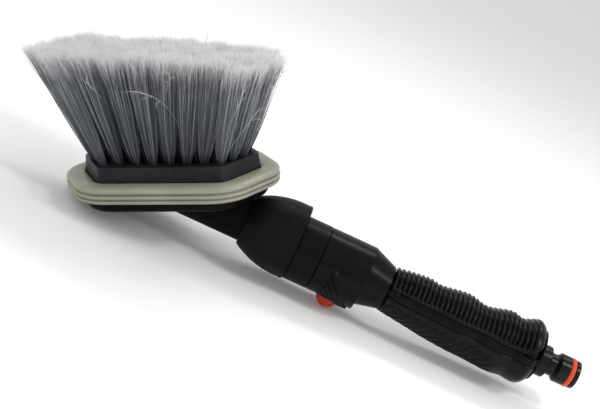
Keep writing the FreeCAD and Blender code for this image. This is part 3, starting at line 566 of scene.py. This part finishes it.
def edge_drop(x, edge):
    """How far a pad's surface is let in near its long edges and its ends."""
    drop = -EDGE_DROP * (1 - step_between(0.0, EDGE_ROUND, edge))
    drop -= EDGE_DROP * (1 - step_between(PAD_BACK - 0.01, PAD_BACK + EDGE_ROUND, x))
    drop -= END_DROP * step_between(PAD_FRONT - 2.0, PAD_FRONT + END_ROUND, x)
    return max(drop, -DEEPEST_DROP)


RIB_PITCH, RIB_DEPTH, RIB_SHAPE, RIB_LIFT = 2.93, 1.45, 1.1, 0.45
RIB_COLUMNS, RIB_ROWS = 620, 72
# the upper pad's lower edge rises by this much from CURL_FROM to the front end
CURL_FROM, CURL_RISE = -43, 6.0
# the plain rim round the ribs: where it ends from the long edges, from the back end and from the front end
RIM_SIDE, RIM_BACK, RIM_FRONT = (1.4, 3.4), 1.2, (7.5, 6.0)


def ribbed_pad():
    """The upper pad: rounded ribs across it that fade into a rim all round."""
    inner, outer = [], []
    for i in range(RIB_COLUMNS + 1):
        x = PAD_BACK + (PAD_FRONT - PAD_BACK) * i / RIB_COLUMNS
        curl = step_between(CURL_FROM, PAD_FRONT, x)
        level = BAND_TOP + CURL_RISE * curl ** 2
        low = side_angle(x, level)
        phase = (x - PAD_BACK) / RIB_PITCH
        wave = abs(math.sin(math.pi * phase)) ** RIB_SHAPE
        end_rim = min(step_between(PAD_BACK, PAD_BACK + RIM_BACK, x),
                      1 - step_between(PAD_FRONT - RIM_FRONT[0], PAD_FRONT - RIM_FRONT[1], x))
        for j in range(RIB_ROWS + 1):
            angle = low + (math.pi - 2 * low) * j / RIB_ROWS
            edge = min(j, RIB_ROWS - j) / RIB_ROWS * (math.pi - 2 * low) * MEAN_RADIUS
            rim = step_between(*RIM_SIDE, edge)
            groove = -RIB_DEPTH * (1 - wave) * rim * end_rim
            outer.append(grip_point(x, angle, RIB_LIFT + groove + edge_drop(x, edge)))
            inner.append(grip_point(x, angle, -PAD_DEPTH))
    made = sheet_solid("grip_ribs", outer, inner, RIB_COLUMNS, RIB_ROWS, "grip", "handle")
    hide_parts("grip_ribbed_pad")


def sheet_solid(name, outer, inner, columns, rows, key, body):
    """A closed solid between two grids of points."""
    width = rows + 1
    total = len(outer)
    faces = []
    for i in range(columns):
        for j in range(rows):
            a = i * width + j
            b, c, d = a + 1, a + width + 1, a + width
            faces.append((a, b, c, d))
            faces.append((total + a, total + d, total + c, total + b))
    for j in range(rows):
        for column, flip in ((0, False), (columns, True)):
            a = column * width + j
            side = (a, total + a, total + a + 1, a + 1)
            faces.append(tuple(reversed(side)) if flip else side)
    for i in range(columns):
        for row, flip in ((0, True), (rows, False)):
            a = i * width + row
            side = (a, total + a, total + a + width, a + width)
            faces.append(tuple(reversed(side)) if flip else side)
    return piece(name, outer + inner, faces, key, body)


FIN_PITCH, FIN_SLANT, FIN_DEPTH, FIN_LIFT = 5.8, 0.85, 1.75, 0.5
# a hollow takes this share of the pitch, and the rest is a fin
HOLLOW_SHARE, HOLLOW_SHAPE = 0.72, 0.8
FIN_COLUMNS, FIN_ROWS = 420, 110
# the hollows reach this far down the side, and further as X goes from DEEPER_FROM to DEEPER_TO; below that
# they are shallower
REACH, DEEPER_BY, DEEPER_FROM, DEEPER_TO = 7.0, 7.0, -112, -62
SHALLOW_LOSS, SHALLOW_EASE = 0.45, 5.0
# the plain rim along the long edges and the back end, and the X range over which the fins fade out
FIN_RIM_SIDE, FIN_RIM_BACK, FINS_END = (2.2, 6.5), 3, (-54, -48)


def finned_pad():
    """The lower pad: slanting leaf-shaped fins on both sides that meet under the grip."""
    inner, outer = [], []
    for i in range(FIN_COLUMNS + 1):
        x = PAD_BACK + (PAD_FRONT - PAD_BACK) * i / FIN_COLUMNS
        high = side_angle(x, BAND_BOTTOM)
        start, stop = math.pi - high, math.tau + high
        reach = REACH + DEEPER_BY * step_between(DEEPER_FROM, DEEPER_TO, x)
        for j in range(FIN_ROWS + 1):
            angle = start + (stop - start) * j / FIN_ROWS
            edge = min(j, FIN_ROWS - j) / FIN_ROWS * (stop - start) * MEAN_RADIUS
            phase = (x + FIN_SLANT * edge) / FIN_PITCH
            saw = phase - math.floor(phase)
            hollow = math.sin(math.pi * min(1.0, saw / HOLLOW_SHARE)) if saw < HOLLOW_SHARE else 0.0
            low = 1 - SHALLOW_LOSS * step_between(reach, reach + SHALLOW_EASE, edge)
            fade = step_between(*FIN_RIM_SIDE, edge) * step_between(PAD_BACK, PAD_BACK + FIN_RIM_BACK, x)
            fade *= 1 - step_between(*FINS_END, x)
            lift = FIN_LIFT - FIN_DEPTH * fade * low * hollow ** HOLLOW_SHAPE
            outer.append(grip_point(x, angle, lift + edge_drop(x, edge)))
            inner.append(grip_point(x, angle, -PAD_DEPTH))
    made = sheet_solid("grip_fins", outer, inner, FIN_COLUMNS, FIN_ROWS, "grip", "handle")
    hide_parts("grip_lower_pad")


# ------------------------------------------------------------------ ribbed cheeks beside the button

BARREL_RADIUS, BARREL_DROP = 19.7, -0.4
# a cheek's outline on the unrolled barrel: X, then the arc length above the side's middle line
CHEEK = [(-158.4, 8.0), (-161.6, -20.8), (-141.0, -20.8), (-141.0, -13.6)]
# the grid over a cheek: where it starts and its size along X and round the barrel
CHEEK_X, CHEEK_LENGTH, CHEEK_ARC, CHEEK_SPREAD = -162.6, 24.2, -21.6, 31.6
CHEEK_COLUMNS, CHEEK_ROWS = 150, 190
CHEEK_SOFTNESS, CHEEK_HEIGHT, CHEEK_SUNK, CHEEK_ROOT = 1.5, 1.05, 0.3, 1.2
# ribs are counted from the slanting edge and fade out at the far corner and low on the barrel
CHEEK_RIB_PITCH, CHEEK_RIB_START, CHEEK_RIB_DEPTH, CHEEK_RIB_SHAPE = 3.1, 0.4, 1.25, 1.2
CHEEK_RIBS_END, CHEEK_RIBS_FOOT = (13.6, 15.0), (-19.5, -16.5)


def inside_cheek(x, arc):
    """How far inside the outline a place is, and how far from its slanting edge."""
    walls = []
    for i, (ax, ay) in enumerate(CHEEK):
        bx, by = CHEEK[(i + 1) % len(CHEEK)]
        length = math.hypot(bx - ax, by - ay)
        walls.append(((bx - ax) * (arc - ay) - (by - ay) * (x - ax)) / length)
    softest = -CHEEK_SOFTNESS * math.log(sum(math.exp(-wall / CHEEK_SOFTNESS) for wall in walls))
    return softest, walls[3]


def cheek(side, name):
    """A raised patch with slanting ribs, which fades into the barrel; side is -1 or 1 along Y."""
    outer, inner = [], []
    for i in range(CHEEK_COLUMNS + 1):
        x = CHEEK_X + CHEEK_LENGTH * i / CHEEK_COLUMNS
        for j in range(CHEEK_ROWS + 1):
            arc = CHEEK_ARC + CHEEK_SPREAD * j / CHEEK_ROWS
            depth, across = inside_cheek(x, arc)
            rise = step_between(-0.6, 1.4, depth)
            ribs = 0.5 - 0.5 * math.cos(math.tau * (across - CHEEK_RIB_START) / CHEEK_RIB_PITCH)
            ribbed = step_between(0.3, 1.5, depth) * (1 - step_between(*CHEEK_RIBS_END, across))
            ribbed *= step_between(*CHEEK_RIBS_FOOT, arc)
            lift = rise * (CHEEK_HEIGHT + CHEEK_SUNK) - CHEEK_SUNK
            lift -= CHEEK_RIB_DEPTH * (1 - ribs) ** CHEEK_RIB_SHAPE * ribbed
            angle = arc / BARREL_RADIUS
            for grid, reach in ((outer, BARREL_RADIUS + lift), (inner, BARREL_RADIUS - CHEEK_ROOT)):
                spot = (x, side * reach * math.cos(angle), BARREL_DROP + reach * math.sin(angle))
                grid.append(Vector(spot) * MM)
    sheet_solid(name, outer, inner, CHEEK_COLUMNS, CHEEK_ROWS, "handle", "handle")


# ------------------------------------------------------------------ stage, light and camera


# half of the floor's width, and its gap under the part, in metres
FLOOR_REACH, FLOOR_GAP = 6.0, 0.2 * MM


def stage():
    """A plain pale floor just under the part."""
    level = cad_box[0][2] - FLOOR_GAP
    mesh = bpy.data.meshes.new("floor")
    corners = [(x * FLOOR_REACH, y * FLOOR_REACH, level) for x, y in ((-1, -1), (1, -1), (1, 1), (-1, 1))]
    mesh.from_pydata(corners, [], [(0, 1, 2, 3)])
    material, _, shader = nodes_of("floor_paper")
    shader.inputs["Base Color"].default_value = (0.95, 0.95, 0.95, 1)
    shader.inputs["Roughness"].default_value = 0.95
    shader.inputs["Specular IOR Level"].default_value = 0.0
    mesh.materials.append(material)
    floor = bpy.data.objects.new("floor", mesh)
    bpy.context.scene.collection.objects.link(floor)


# where the lamps are aimed, the world's strength, and each lamp's place, size and power, in metres and watts
AIM = (-0.19, 0, 0.02)
WORLD_STRENGTH = 0.72
LAMPS = {
    "key_soft": ((0.35, -0.30, 0.90), (0.26, 0.18), 2.2),
    "glint": ((0.62, -0.25, 0.60), (0.17, 0.17), 1.7),
    "top_strip": ((-0.15, 0.45, 0.80), (0.9, 0.16), 2.4),
    "left_fill": ((-1.0, -0.6, 0.5), (0.5, 0.5), 1.4),
}


def area_light(name, place, size, power):
    data = bpy.data.lights.new(name, "AREA")
    data.shape = "RECTANGLE"
    data.size, data.size_y = size
    data.energy = power
    lamp = bpy.data.objects.new(name, data)
    lamp.location = place
    lamp.rotation_euler = (Vector(AIM) - Vector(place)).to_track_quat("-Z", "Y").to_euler()
    bpy.context.scene.collection.objects.link(lamp)


def lights():
    for name, (place, size, power) in LAMPS.items():
        area_light(name, place, size, power)
    world = bpy.data.worlds.new("studio")
    world.use_nodes = True
    sky = world.node_tree.nodes["Background"]
    sky.inputs["Color"].default_value = (1, 1, 1, 1)
    sky.inputs["Strength"].default_value = WORLD_STRENGTH
    bpy.context.scene.world = world
    bpy.context.scene.view_settings.view_transform = "Standard"


# the camera's place in metres; it looks along +Y, turned by the azimuth towards +X and down by the elevation
EYE = (-0.2052, -0.5963, 0.2405)
AZIMUTH, ELEVATION, ROLL = math.radians(1.4), math.radians(19.9), math.radians(25.4)
LENS, SENSOR, NEAR = 65.6, 36, 0.01


def camera():
    """Looks at the part nearly side-on from above, and rolled."""
    azimuth, elevation, roll = AZIMUTH, ELEVATION, ROLL
    level_reach = math.cos(elevation)
    forward = Vector((math.sin(azimuth) * level_reach, math.cos(azimuth) * level_reach, -math.sin(elevation)))
    level_right = Vector((math.cos(azimuth), -math.sin(azimuth), 0))
    level_up = level_right.cross(forward)
    right = level_right * math.cos(roll) + level_up * math.sin(roll)
    up = level_up * math.cos(roll) - level_right * math.sin(roll)
    data = bpy.data.cameras.new("camera")
    data.lens = LENS
    data.sensor_width = SENSOR
    data.clip_start = NEAR
    eye = bpy.data.objects.new("camera", data)
    turn = Matrix((right, up, -forward)).transposed().to_4x4()
    eye.matrix_world = Matrix.Translation(EYE) @ turn
    bpy.context.scene.collection.objects.link(eye)
    bpy.context.scene.camera = eye


for node, key in FINISHES.items():
    finish_cad(node, key)
camera()
stage()
lights()
bumper()
bristles()
ribbed_pad()
finned_pad()
cheek(-1, "cheek_right")
cheek(1, "cheek_left")
